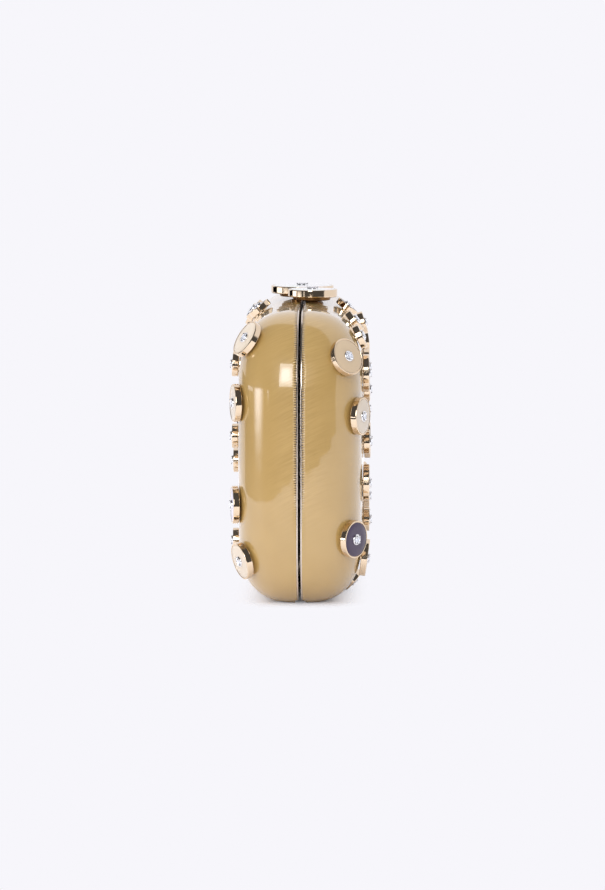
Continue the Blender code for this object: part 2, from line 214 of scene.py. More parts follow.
@dataclass(frozen=True)
class PatentLeather(Finish):
    """Leather with a brushed gold foil under clear lacquer, moulded over the shell.

    The lacquer gives sharp white reflections, and the foil below shows fine slanting lines that are
    strongest beside the upper seam, where the leather is drawn tight and crimped over the edge. The
    crimps' folds are darkened with painted shade. The real foil's lines are finer and are drawn as
    coarse as they need to show.
    """

    name: str = "patent_leather_foiled"
    light: str = "#BC9B5F"
    dark: str = "#A48448"
    # Painted shade: the dark colour laid into the crimps' folds.
    crimp_painted_shade: str = "#4A3517"
    line_spacing: float = 0.0006
    line_length: float = 0.009
    line_slant: Point = (math.radians(-27), math.radians(24), 0)
    tight_band: Pair = (0.002, 0.014)
    tight_heights: Pair = (0.030, 0.052)
    loose_share: float = 0.10
    contrast: float = 0.55
    clouds_per_metre: float = 38  # 26 mm each
    ripples_per_metre: float = 95  # 11 mm each
    crimp_depth: float = 0.0014
    crimp_weight: float = 0.80
    crimp_shade: Pair = (0.30, 0.75)
    crimp_drift: float = 7.0
    drifts_per_metre: float = 260  # 3.8 mm each
    breaks_per_metre: float = 620  # 1.6 mm each

    def look(self, tree: Tree, place: Socket) -> Settings:
        """Add the foil's lines and clouds, the crimps with painted shade and the lacquer's ripple.

        Args:
            tree: The material's nodes.
            place: The piece's own coordinates.

        Returns:
            Values and sockets by the shader's inputs.
        """
        slant = add_node(tree, "Mapping", {"Rotation": self.line_slant, "Vector": place})
        stretch = (1 / self.line_length, 1 / self.line_length, 1 / self.line_spacing)
        drawn = add_node(tree, "Mapping", {"Scale": stretch, "Vector": slant})
        lines = add_node(tree, "TexNoise", {"Scale": 1, "Detail": 3, "Roughness": 0.6, "Vector": drawn})
        clouds = add_node(tree, "TexNoise", {"Scale": self.clouds_per_metre, "Detail": 2, "Vector": place})
        ripple = add_node(tree, "TexNoise", {"Scale": self.ripples_per_metre, "Detail": 1, "Vector": place})

        out = add_node(tree, "SeparateXYZ", {"Vector": place}, "Y")
        away = add_node(tree, "Math", {"operation": "ABSOLUTE", 0: out})
        band = {"From Min": self.tight_band[0], "From Max": self.tight_band[1]}
        near = add_node(tree, "MapRange", {"Value": away, **band, "To Min": 1.0, "To Max": self.loose_share})
        up = add_node(tree, "SeparateXYZ", {"Vector": place}, "Z")
        band = {"From Min": self.tight_heights[0], "From Max": self.tight_heights[1]}
        high = add_node(tree, "MapRange", {"Value": up, **band, "To Min": self.loose_share, "To Max": 1.0})
        tight = add_node(tree, "Math", {"operation": "MULTIPLY", 0: near, 1: high})

        band = {"From Min": 0.34, "From Max": 0.66, "To Min": -0.5, "To Max": 0.5}
        streak = add_node(tree, "MapRange", {"Value": lines, **band})
        streak = add_node(tree, "Math", {"operation": "MULTIPLY", 0: streak, 1: tight})
        tint = add_node(tree, "Math", {"operation": "MULTIPLY_ADD", 0: streak, 1: self.contrast, 2: clouds})
        ends = {6: linear(self.dark), 7: linear(self.light)}
        foil = add_node(tree, "Mix", {"data_type": "RGBA", 0: tint, **ends}, 2)

        run = add_node(tree, "UVMap", {"uv_map": "seam_run"})
        along = add_node(tree, "SeparateXYZ", {"Vector": run}, "X")
        inwards = add_node(tree, "SeparateXYZ", {"Vector": run}, "Y")
        breaks = add_node(tree, "TexNoise", {"Scale": self.breaks_per_metre, "Detail": 1, "Vector": place})
        drift = add_node(tree, "TexNoise", {"Scale": self.drifts_per_metre, "Detail": 1, "Vector": place})
        turn = add_node(tree, "Math", {"operation": "MULTIPLY_ADD", 0: drift, 1: self.crimp_drift, 2: along})
        wave = add_node(tree, "Math", {"operation": "SINE", 0: turn})
        wave = add_node(tree, "Math", {"operation": "MULTIPLY_ADD", 0: wave, 1: self.crimp_weight, 2: breaks})
        band = {"From Min": 0.0, "From Max": self.crimp_depth, "To Min": 1.0, "To Max": 0.0}
        edge = add_node(tree, "MapRange", {"Value": inwards, **band})
        crimp = add_node(tree, "Math", {"operation": "MULTIPLY", 0: wave, 1: edge})
        crimp = add_node(tree, "Math", {"operation": "MULTIPLY", 0: crimp, 1: high})
        # The crimps' folds are darkened towards the painted shade colour, next to the seam and high on the
        # shell.
        band = {"From Min": self.crimp_shade[0], "From Max": self.crimp_shade[1]}
        shade = add_node(tree, "MapRange", {"Value": crimp, **band})
        colour = add_node(tree, "Mix", {"data_type": "RGBA", 0: shade, 6: foil, 7: linear(self.crimp_painted_shade)}, 2)

        fold = add_node(tree, "Bump", {"Strength": 0.6, "Distance": 0.0003, "invert": True, "Height": crimp})
        grain = {"Strength": 0.3, "Distance": 0.00005, "Height": streak, "Normal": fold}
        wavy = {"Strength": 0.18, "Distance": 0.0004, "Height": ripple, "Normal": fold}
        return {
            "Base Color": colour,
            "Normal": add_node(tree, "Bump", grain),
            "Coat Normal": add_node(tree, "Bump", wavy),
            "Roughness": 0.34,
            "IOR": 1.5,
            "Coat Weight": 1.0,
            "Coat Roughness": 0.035,
            "Coat IOR": 1.7,
        }


@dataclass(frozen=True)
class PolishedPlate(Finish):
    """Brass with a thin bright plating, cast, turned and polished.

    It mirrors the room in bands, with faint polishing lines that soften the bands a little. The
    real lines are finer and are drawn as coarse as they need to show.
    """

    name: str
    colour: str
    roughness: float
    scratch_spacing: float = 0.0003
    wear_per_metre: float = 240  # 4.2 mm each
    wear_range: Pair = (0.7, 1.5)

    def look(self, tree: Tree, place: Socket) -> Settings:
        """Add the wear and the polishing lines.

        Args:
            tree: The material's nodes.
            place: The piece's own coordinates.

        Returns:
            Values and sockets by the shader's inputs.
        """
        fine = add_node(tree, "TexNoise", {"Scale": 1 / self.scratch_spacing, "Detail": 2, "Vector": place})
        wear = add_node(tree, "TexNoise", {"Scale": self.wear_per_metre, "Detail": 3, "Vector": place})
        low, high = (self.roughness * share for share in self.wear_range)
        band = {"From Min": 0.3, "From Max": 0.7, "To Min": low, "To Max": high}
        return {
            "Base Color": linear(self.colour),
            "Metallic": 1.0,
            "Roughness": add_node(tree, "MapRange", {"Value": wear, **band}),
            "Normal": add_node(tree, "Bump", {"Strength": 0.08, "Distance": 0.00002, "Height": fine}),
        }


@dataclass(frozen=True)
class Enamel(Finish):
    """Hard enamel, poured into the plate's recess, fired and ground flush.

    It is smooth and glassy, with a barely uneven colour where the glass pooled.
    """

    name: str
    colour: str
    unevenness: float = 0.05
    pools_per_metre: float = 420  # 2.4 mm each

    def look(self, tree: Tree, place: Socket) -> Settings:
        """Add the pooled glass.

        Args:
            tree: The material's nodes.
            place: The piece's own coordinates.

        Returns:
            Values and sockets by the shader's inputs.
        """
        pooled = add_node(tree, "TexNoise", {"Scale": self.pools_per_metre, "Detail": 3, "Vector": place})
        ends = {6: linear(self.colour, 1 - self.unevenness), 7: linear(self.colour, 1 + self.unevenness)}
        return {
            "Base Color": add_node(tree, "Mix", {"data_type": "RGBA", 0: pooled, **ends}, 2),
            "Normal": add_node(tree, "Bump", {"Strength": 0.1, "Distance": 0.00003, "Height": pooled}),
            "Roughness": 0.3,
            "Coat Weight": 0.5,
            "Coat Roughness": 0.04,
        }


@dataclass(frozen=True)
class MotherOfPearl(Finish):
    """A thin slice of shell, polished and set flush in the clasp's discs.

    It is silver-grey with faint pink and green bands that wander across it.
    """

    name: str = "mother_of_pearl_polished"
    pink: str = "#E4D8DC"
    base: str = "#DADDE2"
    green: str = "#D6DFDC"
    bands_per_metre: float = 130  # 7.7 mm each

    def look(self, tree: Tree, place: Socket) -> Settings:
        """Add the wandering bands.

        Args:
            tree: The material's nodes.
            place: The piece's own coordinates.

        Returns:
            Values and sockets by the shader's inputs.
        """
        wander = {"Scale": self.bands_per_metre, "Detail": 2, "Distortion": 1.6}
        bands = add_node(tree, "TexNoise", {**wander, "Vector": place})
        ramp = add_node(tree, "ValToRGB", {"Fac": bands})
        stops = ramp.node.color_ramp.elements
        stops[0].position, stops[0].color = 0.36, linear(self.pink)
        stops[1].position, stops[1].color = 0.64, linear(self.green)
        stops.new(0.5).color = linear(self.base)
        return {
            "Base Color": ramp,
            "Normal": add_node(tree, "Bump", {"Strength": 0.1, "Distance": 0.00004, "Height": bands}),
            "Metallic": 0.15,
            "Roughness": 0.18,
            "Coat Weight": 1.0,
            "Coat Roughness": 0.03,
        }


@dataclass(frozen=True)
class CutCrystal(Finish):
    """Lead crystal, machine cut and polished.

    Its facets bend the room into small bright and dark spots.
    """

    name: str = "lead_crystal_cut"
    colour: str = "#F7FAFF"
    ior: float = 1.58
    polish_per_metre: float = 900  # 1.1 mm each

    def look(self, tree: Tree, place: Socket) -> Settings:
        """Add the traces of the polishing.

        Args:
            tree: The material's nodes.
            place: The piece's own coordinates.

        Returns:
            Values and sockets by the shader's inputs.
        """
        polish = add_node(tree, "TexNoise", {"Scale": self.polish_per_metre, "Detail": 1, "Vector": place})
        return {
            "Base Color": linear(self.colour),
            "Normal": add_node(tree, "Bump", {"Strength": 0.04, "Distance": 0.00002, "Height": polish}),
            "Roughness": 0.0,
            "IOR": self.ior,
            "Transmission Weight": 1.0,
        }


@dataclass(frozen=True)
class SatinCloth(Finish):
    """Polyester satin, woven and glued over the lining tray.

    The fine rib of the weave catches a soft sheen across the dark plum. The real threads are finer
    and the rib is drawn as coarse as it needs to show.
    """

    name: str = "polyester_satin_woven"
    colour: str = "#46283C"
    rib_spacing: float = 0.0006
    slubs_per_metre: float = 160  # 6.3 mm each
    unevenness: Pair = (0.8, 1.25)

    def look(self, tree: Tree, place: Socket) -> Settings:
        """Add the ribs and slubs of the weave.

        Args:
            tree: The material's nodes.
            place: The piece's own coordinates.

        Returns:
            Values and sockets by the shader's inputs.
        """
        # A wave texture turns once in a twentieth of tau at a scale of 1.
        scale = math.tau / (20 * self.rib_spacing)
        ribs = add_node(tree, "TexWave", {"Scale": scale, "bands_direction": "Z", "Vector": place}, "Fac")
        slubs = add_node(tree, "TexNoise", {"Scale": self.slubs_per_metre, "Detail": 4, "Vector": place})
        weave = add_node(tree, "Math", {"operation": "MULTIPLY_ADD", 0: ribs, 1: 0.4, 2: slubs})
        ends = {6: linear(self.colour, self.unevenness[0]), 7: linear(self.colour, self.unevenness[1])}
        return {
            "Base Color": add_node(tree, "Mix", {"data_type": "RGBA", 0: slubs, **ends}, 2),
            "Normal": add_node(tree, "Bump", {"Strength": 0.35, "Distance": 0.0002, "Height": weave}),
            "Roughness": 0.48,
            "Sheen Weight": 0.35,
        }


@dataclass(frozen=True)
class CoatedPaper(Finish):
    """Background paper with a matt coating, laid flat.

    It is a plain near-white that takes a soft shadow, and it melts into the background away from
    the object. It is clear where the open half dips below it, and to light on its way to that half.
    """

    name: str = "paper_matt_coated"
    colour: str = PAPER
    footprint: Pair = (0.062, 0.010)
    fade: Pair = (-0.004, 0.018)
    dip_reach: float = 0.04

    def look(self, tree: Tree, place: Socket) -> Settings:
        """Lay the clear places over the paper.

        Args:
            tree: The material's nodes.
            place: The floor's own coordinates.

        Returns:
            Values of the paper, by the shader's inputs.
        """
        folded = add_node(tree, "VectorMath", {"operation": "ABSOLUTE", 0: place})
        past = add_node(tree, "VectorMath", {"operation": "SUBTRACT", 0: folded, 1: (*self.footprint, 0)})
        past = add_node(tree, "VectorMath", {"operation": "MAXIMUM", 0: past, 1: (0, 0, 0)})
        away = add_node(tree, "VectorMath", {"operation": "LENGTH", 0: past}, "Value")
        band = {"interpolation_type": "SMOOTHSTEP", "From Min": self.fade[0], "From Max": self.fade[1]}
        fade = add_node(tree, "MapRange", {"Value": away, **band})
        seen = add_node(tree, "LightPath", output="Is Camera Ray")
        clear = add_node(tree, "Math", {"operation": "MULTIPLY", 0: fade, 1: seen})
        below = {"inside": True, "samples": 8, "Distance": self.dip_reach}
        open_below = add_node(tree, "AmbientOcclusion", below, "AO")
        dips = add_node(tree, "Math", {"operation": "LESS_THAN", 0: open_below, 1: 0.99})
        under = add_node(tree, "NewGeometry", output="Backfacing")
        shadow = add_node(tree, "LightPath", output="Is Shadow Ray")
        for reason in (dips, under, shadow):
            clear = add_node(tree, "Math", {"operation": "MAXIMUM", 0: clear, 1: reason})
        paper = tree.nodes["Principled BSDF"].outputs["BSDF"]
        surface = add_node(tree, "MixShader", {0: clear, 1: paper, 2: add_node(tree, "BsdfTransparent")})
        set_up(tree, tree.nodes["Material Output"], {"Surface": surface})
        return {"Base Color": linear(self.colour), "Roughness": 0.9, "Specular IOR Level": 0.2}


class Finishes:
    """The finished materials, each made once."""

    def __init__(self) -> None:
        """Make every material."""
        self.leather = PatentLeather().make()
        # The plates of the discs are polished brightest and mirror the room in sharp pale bands.
        self.gold = PolishedPlate("brass_plated_pale_gold", "#EBD5B8", 0.07).make()
        # The frames are satin bright, so that the seam shows as a soft pale line.
        self.champagne = PolishedPlate("brass_plated_champagne", "#E6D9CB", 0.18).make()
        # The bezels and the pin are a cool white that sets them off from the gold.
        self.silver = PolishedPlate("brass_plated_rhodium", "#F0F0F2", 0.16).make()
        # The hinge leaves are a plainer, deeper gold.
        self.hinge = PolishedPlate("brass_plated_hinge", "#D9BD92", 0.2).make()
        # The posts and bosses under the clasp's discs are dull, and painted dark brown as the shade under the
        # discs.
        self.painted_shade_brass = PolishedPlate("brass_dull_painted_shade", "#86613A", 0.38).make()
        self.pearl = MotherOfPearl().make()
        self.crystal = CutCrystal().make()
        self.satin = SatinCloth().make()
        self.enamels = {tone: Enamel(*tone.value).make() for tone in Tone}


def to_mesh(name: str, bm: BMesh, materials: Iterable[bpy.types.Material] = ()) -> bpy.types.Mesh:
    """Turn a form into a mesh.

    Args:
        name: The mesh's name.
        bm: The form, which is freed.
        materials: The materials, by slot.

    Returns:
        The new mesh.
    """
    mesh = bpy.data.meshes.new(name)
    bm.to_mesh(mesh)
    bm.free()
    for material in materials:
        mesh.materials.append(material)
    return mesh


def add_object(name: str, data: bpy.types.ID) -> bpy.types.Object:
    """Add an object to the scene.

    Args:
        name: The object's name.
        data: Its mesh, light or camera.

    Returns:
        The new object, at the origin.
    """
    made = bpy.data.objects.new(name, data)
    bpy.context.scene.collection.objects.link(made)
    return made


def add_piece(
    name: str,
    bm: BMesh,
    half: Half,
    materials: Iterable[bpy.types.Material],
    place: Matrix = Matrix(),
    node: str = "",
    sharp: float = 32,
) -> None:
    """Turn a form into a finished piece that rides on its half.

    Args:
        name: The piece's name.
        bm: The form, which is freed.
        half: The half that carries it.
        materials: The materials, by slot.
        place: Where the form goes on the back half. On the front half it is turned with that half.
        node: The CAD node that it replaces, if it does.
        sharp: Angle in degrees above which an edge stays sharp.
    """
    bm.transform(half.place @ place)
    mesh = to_mesh(name, bm, materials)
    mesh.shade_smooth()
    mesh.set_sharp_from_angle(angle=math.radians(sharp))
    piece = add_object(name, mesh)
    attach(piece, half.body)
    if node:
        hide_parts(node)
    log.info("%s: %d faces on %s", name, len(mesh.polygons), half.body)


def joined(target: BMesh, source: BMesh, place: Matrix = Matrix()) -> None:
    """Move a form to its place and add it to another.

    Args:
        target: The form that grows.
        source: The form that is added, which is freed.
        place: Where the source goes.
    """
    source.transform(place)
    mesh = to_mesh("form", source)
    target.from_mesh(mesh)
    bpy.data.meshes.remove(mesh)


def face_outwards(bm: BMesh) -> None:
    """Point every face of a closed form outwards.

    Args:
        bm: The closed form.
    """
    bmesh.ops.recalc_face_normals(bm, faces=bm.faces[:])
    if bm.calc_volume(signed=True) < 0:
        bmesh.ops.reverse_faces(bm, faces=bm.faces[:])


def spun(profile: Profile, sides: int, material: int = 0) -> BMesh:
    """Spin a profile round Z.

    Args:
        profile: Radius and height of each point.
        sides: Number of sides.
        material: Material slot of the faces.

    Returns:
        The closed form, its faces pointing outwards.
    """
    bm = bmesh.new()
    points = [bm.verts.new((radius, 0, height)) for radius, height in profile]
    edges = [bm.edges.new(pair) for pair in zip(points, points[1:])]
    bmesh.ops.spin(
        bm, geom=points + edges, cent=(0, 0, 0), axis=(0, 0, 1), angle=math.tau, steps=sides, use_merge=True
    )
    bmesh.ops.remove_doubles(bm, verts=bm.verts[:], dist=0.000002)
    face_outwards(bm)
    for face in bm.faces:
        face.material_index = material
    return bm


def turned_side(radius: float, edge: float, low: float, high: float) -> Profile:
    """Give the side of a turned plate with eased edges.

    Args:
        radius: The plate's radius.
        edge: How far each edge is eased.
        low: Height of the bottom face.
        high: Height of the top face.

    Returns:
        Radius and height of the points from the bottom face to the top face.
    """
    steps = ((edge, 0), (edge * 0.3, edge * 0.3), (0, edge), (0, edge * 1.4))
    lower = tuple((radius - inset, low + rise) for inset, rise in steps)
    return lower + tuple((radius - inset, high - rise) for inset, rise in reversed(steps))


def block(low: Point, high: Point) -> BMesh:
    """Make a block.

    Args:
        low: Its lowest corner.
        high: Its highest corner.

    Returns:
        The block.
    """
    low_corner, high_corner = Vector(low), Vector(high)
    size = Matrix.Diagonal((*(high_corner - low_corner), 1))
    bm = bmesh.new()
    bmesh.ops.create_cube(bm, size=1, matrix=Matrix.Translation((low_corner + high_corner) / 2) @ size)
    return bm


@dataclass(frozen=True)
class CaseSizes:
    """The case's own sizes, the same as the CAD part's."""

    length: float = 0.178
    height: float = 0.1156
    corner_radius: float = 0.030
    shell_depth: float = 0.0225
    shell_edge: float = 0.025
    shell_wall: float = 0.0017
    crown: float = 0.0012
    land_depth: float = 0.0008
    frame_back: float = 0.00045
    rim_thickness: float = 0.0007
    web_depth: float = 0.0031
    web_height: float = 0.0016
    web_inset: float = 0.0023
    gap: float = 0.0003
    leather_wrap: float = 0.00036
    roll_power: float = 2.5
    lining_inset: float = 0.0022
    lining_wall: float = 0.0010
    hinge_height: float = 0.00175
    hinge_length: float = 0.072
    groove_half: float = 0.0021
    pocket_margin: float = 0.0012
    pocket_height: float = 0.0045
    cut_past: float = 0.003

    @property
    def middle(self) -> float:
        """Give the height of the outline's middle."""
        return (self.height - self.land_depth) / 2

    @property
    def flat_x(self) -> float:
        """Give half the straight part of the outline along the case."""
        return self.length / 2 - self.corner_radius

    @property
    def flat_z(self) -> float:
        """Give half the straight part of the outline upright."""
        return self.height / 2 - self.corner_radius

    @property
    def corner_run(self) -> float:
        """Give the way round one corner of the outline."""
        return self.corner_radius * QUARTER

    @property
    def shell_base(self) -> float:
        """Give the shell's distance from the seam plane."""
        return self.frame_back + self.rim_thickness + self.gap

    @property
    def lining_base(self) -> float:
        """Give the lining's distance from the seam plane."""
        return self.frame_back + self.rim_thickness + self.web_depth + self.gap


class Form:
    """A moulded half form: a rounded oblong outline that rolls over into a slightly domed face."""

    corner_steps = 26
    side_steps = 10
    roll_steps = 30
    rim_steps = 4
    face_shares = (0.9, 0.78, 0.64, 0.48, 0.32, 0.16)

    def __init__(self, sizes: CaseSizes, inset: float, base: float) -> None:
        """Work out the form's sizes.

        Args:
            sizes: The case's sizes.
            inset: How far the form lies inside the shell's outside.
            base: Where the form starts, from the seam plane.
        """
        self.sizes = sizes
        self.half_x = sizes.length / 2 - inset
        self.half_z = (sizes.height + sizes.land_depth) / 2 - inset
        self.radius = sizes.corner_radius - inset
        self.edge = sizes.shell_edge - inset
        self.depth = sizes.shell_depth - inset
        self.base = base

    def beyond(self, x: float, z: float) -> Pair:
        """Give how far a place lies beyond the corner's middle, along the case and upright."""
        return abs(x) - self.half_x + self.radius, abs(z - self.sizes.middle) - self.half_z + self.radius

    def inset_at(self, x: float, z: float) -> float:
        """Give how far a place lies inside the outline.

        Args:
            x: The place along the case.
            z: Its height.

        Returns:
            The shortest way out to the outline.
        """
        beyond_x, beyond_z = self.beyond(x, z)
        corner = math.hypot(max(beyond_x, 0), max(beyond_z, 0))
        return self.radius - corner - min(max(beyond_x, beyond_z), 0)

    def outward_at(self, x: float, z: float) -> Vector:
        """Give the direction square to the outline.

        Args:
            x: A place on the outline, along the case.
            z: Its height.

        Returns:
            The outward direction, of length 1.
        """
        beyond_x, beyond_z = self.beyond(x, z)
        out_x, out_z = max(beyond_x, 0), max(beyond_z, 0)
        return Vector((math.copysign(out_x, x), 0, math.copysign(out_z, z - self.sizes.middle))).normalized()

    def depth_at(self, x: float, z: float) -> float:
        """Give the form's distance from the seam plane.

        Args:
            x: A place on the face, along the case.
            z: Its height.

        Returns:
            The distance of the rolled edge or the domed face there.
        """
        power = self.sizes.roll_power
        share = min(max(self.inset_at(x, z) / self.edge, 0), 1)
        roll = self.depth * (1 - (1 - share) ** power) ** (1 / power)
        across = 1 - (x / self.half_x) ** 2
        upright = 1 - ((z - self.sizes.middle) / self.half_z) ** 2
        return max(self.sizes.shell_base + roll + self.sizes.crown * across * upright, self.base)

    def normal_at(self, x: float, z: float) -> Vector:
        """Give the form's outward direction.

        Args:
            x: A place on the face, along the case.
            z: Its height.

        Returns:
            The direction square to the face, of length 1.
        """
        step = self.sizes.gap
        slope_x = (self.depth_at(x + step, z) - self.depth_at(x - step, z)) / (2 * step)
        slope_z = (self.depth_at(x, z + step) - self.depth_at(x, z - step)) / (2 * step)
        return Vector((-slope_x, 1, -slope_z)).normalized()

    def outline(self, bm: BMesh, y: float) -> Edges:
        """Add the outline as a loop of edges.

        Args:
            bm: The empty form that gets the loop.
            y: Its distance from the seam plane.

        Returns:
            The loop's edges.
        """
        lie = Matrix.Rotation(QUARTER, 4, "X") @ Matrix.Diagonal((self.half_x, self.half_z, 1, 1))
        place = Matrix.Translation((0, y, self.sizes.middle)) @ lie
        bmesh.ops.create_grid(bm, x_segments=1, y_segments=1, size=1, matrix=place)
        bmesh.ops.bevel(
            bm,
            geom=bm.verts[:],
            offset=self.radius,
            segments=self.corner_steps,
            profile=0.5,
            affect="VERTICES",
            material=-1,
        )
        bmesh.ops.delete(bm, geom=bm.faces[:], context="FACES_ONLY")
        sides = [edge for edge in bm.edges if edge.calc_length() > self.radius / 2]
        bmesh.ops.subdivide_edges(bm, edges=sides, cuts=self.side_steps)
        return bm.edges[:]

    def drawn(self, bm: BMesh, edges: Edges, inset: float, y: float) -> Edges:
        """Draw a loop on to its next place, with faces between.

        Args:
            bm: The form that holds the loop.
            edges: The loop's edges.
            inset: How far the next place lies inside the last one.
            y: The next place's distance from the seam plane.

        Returns:
            The new loop's edges.
        """
        made = bmesh.ops.extrude_edge_only(bm, edges=edges)["geom"]
        for point in made:
            if isinstance(point, bmesh.types.BMVert):
                point.co -= self.outward_at(point.co.x, point.co.z) * inset
                point.co.y = y
        return [edge for edge in made if isinstance(edge, bmesh.types.BMEdge)]

    def roll(self, bm: BMesh, edges: Edges) -> None:
        """Close a loop at the outline with the rolled edge and the domed face.

        Args:
            bm: The form that holds the loop.
            edges: The loop's edges, on the outline.
        """
        last = 0.0
        made = []
        for step in range(1, self.roll_steps + 1):
            turn = QUARTER * step / self.roll_steps
            inset = self.edge * (1 - max(math.cos(turn), 0) ** (2 / self.sizes.roll_power))
            edges = self.drawn(bm, edges, inset - last, self.base)
            last = inset
            made += edges
        before = 1.0
        middle = Matrix.Translation((0, 0, -self.sizes.middle))
        for share in self.face_shares:
            edges = self.drawn(bm, edges, 0, self.base)
            points = list({point for edge in edges for point in edge.verts})
            bmesh.ops.scale(bm, vec=(share / before, 1, share / before), space=middle, verts=points)
            before = share
            made += edges
        cap = bmesh.ops.edgeloop_fill(bm, edges=edges)["faces"]
        hub = bmesh.ops.poke(bm, faces=cap)["verts"]
        for point in {point for edge in made for point in edge.verts}.union(hub):
            point.co.y = self.depth_at(point.co.x, point.co.z)

    def tray(self, wall: float, bead: float) -> BMesh:
        """Make a closed tray with a rounded outer rim.

        Args:
            wall: The tray's wall.
            bead: The radius of its outer rim.

        Returns:
            The closed tray, its faces pointing outwards.
        """
        bm = bmesh.new()
        rim = self.outline(bm, self.base + bead)
        self.roll(bm, self.drawn(bm, rim, 0, self.base + bead * 2))
        last = 0.0
        for step in range(1, self.rim_steps + 1):
            turn = QUARTER * step / self.rim_steps
            inset = bead * (1 - math.cos(turn))
            rim = self.drawn(bm, rim, inset - last, self.base + bead * (1 - math.sin(turn)))
            last = inset
        rim = self.drawn(bm, rim, wall - last, self.base)
        outside = self.sizes.length / 2 - self.half_x
        Form(self.sizes, outside + wall, self.base).roll(bm, rim)
        face_outwards(bm)
        return bm

    def ring(self, profile: Profile) -> BMesh:
        """Make a closed ring that follows the outline.

        Args:
            profile: The inset and the distance from the seam plane of each point of its section.

        Returns:
            The closed ring, its faces pointing outwards.
        """
        bm = bmesh.new()
        start, low = profile[0]
        first = edges = self.outline(bm, low)
        for point in bm.verts:
            point.co -= self.outward_at(point.co.x, point.co.z) * start
        last = start
        for inset, y in (*profile[1:], profile[0]):
            edges = self.drawn(bm, edges, inset - last, y)
            last = inset
        ends = {point for edge in edges + first for point in edge.verts}
        bmesh.ops.remove_doubles(bm, verts=list(ends), dist=0.00002)
        face_outwards(bm)
        return bm

    @property
    def whole_run(self) -> float:
        """Give the whole way round the outline."""
        return 4 * (self.sizes.flat_x + self.sizes.flat_z + self.sizes.corner_run)

    def run_at(self, x: float, z: float) -> float:
        """Give how far along the outline a place lies, from the bottom's middle.

        Args:
            x: The place along the case.
            z: Its height.

        Returns:
            The run along the outline in metres, up to the whole way round.
        """
        flat_x, flat_z, corner = self.sizes.flat_x, self.sizes.flat_z, self.sizes.corner_run
        up = z - self.sizes.middle
        out_x, out_z = max(abs(x) - flat_x, 0), max(abs(up) - flat_z, 0)
        turn = math.atan2(out_x, out_z) * self.sizes.corner_radius if out_x or out_z else 0
        if up < 0:
            side = min(abs(x), flat_x) + turn + (flat_z - min(-up, flat_z) if out_x and not out_z else 0)
        else:
            side = flat_x + corner + flat_z + min(up, flat_z)
            side += corner - turn + flat_x - min(abs(x), flat_x) if out_z else 0
        return side if x >= 0 else self.whole_run - side

    def lay_run(self, bm: BMesh, crimp: float) -> None:
        """Lay the map that holds the run along the seam, in turns of a crimp, and the way in from it.

        Args:
            bm: The form that gets the map.
            crimp: The distance from one crimp to the next.
        """
        layer = bm.loops.layers.uv.new("seam_run")
        for face in bm.faces:
            middle = face.calc_center_median()
            home = self.run_at(middle.x, middle.z)
            for loop in face.loops:
                place = loop.vert.co
                run = self.run_at(place.x, place.z)
                run += self.whole_run * round((home - run) / self.whole_run)
                loop[layer].uv = (run / crimp * math.tau, place.y - self.base)


def cut_boxes(bm: BMesh, boxes: Iterable[tuple[Point, Point]]) -> BMesh:
    """Cut boxes out of a closed form.

    Args:
        bm: The form, which is freed.
        boxes: The lowest and highest corner of each box.

    Returns:
        The form with the boxes cut out.
    """
    form = add_object("cut_form", to_mesh("cut_form", bm))
    helpers = [form]
    for low, high in boxes:
        cut = form.modifiers.new("cut", "BOOLEAN")
        cut.operation = "DIFFERENCE"
        cut.object = add_object("cut_box", to_mesh("cut_box", block(low, high)))
        helpers.append(cut.object)
    done = bpy.data.meshes.new_from_object(form.evaluated_get(bpy.context.evaluated_depsgraph_get()))
    result = bmesh.new()
    result.from_mesh(done)
    used = [done, *(helper.data for helper in helpers)]
    for helper in helpers:
        bpy.data.objects.remove(helper)
    for mesh in used:
        bpy.data.meshes.remove(mesh)
    return result


def cut_bottom(bm: BMesh, sizes: CaseSizes) -> BMesh:
    """Cut a closed form flat where it stands, and clear of the hinge.

    Args:
        bm: The form, which is freed.
        sizes: The case's sizes.

    Returns:
        The form with its flat land, the groove along the seam and the pocket for the knuckles.
    """
    everything = bm.verts[:] + bm.edges[:] + bm.faces[:]
    cut = bmesh.ops.bisect_plane(
        bm, geom=everything, plane_co=(0, 0, 0), plane_no=(0, 0, -1), clear_outer=True
    )
    edges = [found for found in cut["geom_cut"] if isinstance(found, bmesh.types.BMEdge)]
    bmesh.ops.edgeloop_fill(bm, edges=edges)
    reach, pocket = sizes.length / 2 + sizes.cut_past, sizes.hinge_length / 2 + sizes.pocket_margin
    half, low = sizes.groove_half, -sizes.cut_past
    groove_box = (-reach, -half, low), (reach, half, sizes.hinge_height)
    pocket_box = (-pocket, -half, low), (pocket, half, sizes.pocket_height)
    return cut_boxes(bm, (groove_box, pocket_box))


@dataclass
class HalfShell:
    """One glossy moulded half shell, wrapped in patent leather that is crimped in at the seam."""

    half: Half
    sizes: CaseSizes
    rim_bead: float = 0.00010
    crimp: float = 0.00095

    def build(self, finishes: Finishes) -> None:
        """Build the shell and dress it.

        Args:
            finishes: The finished materials.
        """
        form = Form(self.sizes, 0, self.sizes.shell_base - self.sizes.leather_wrap)
        bm = form.tray(self.sizes.shell_wall, self.rim_bead)
        form.lay_run(bm, self.crimp)
        bm = cut_bottom(bm, self.sizes)
        name = self.half.label + "_shell"
        add_piece(name + "_leather", bm, self.half, [finishes.leather], node=name)


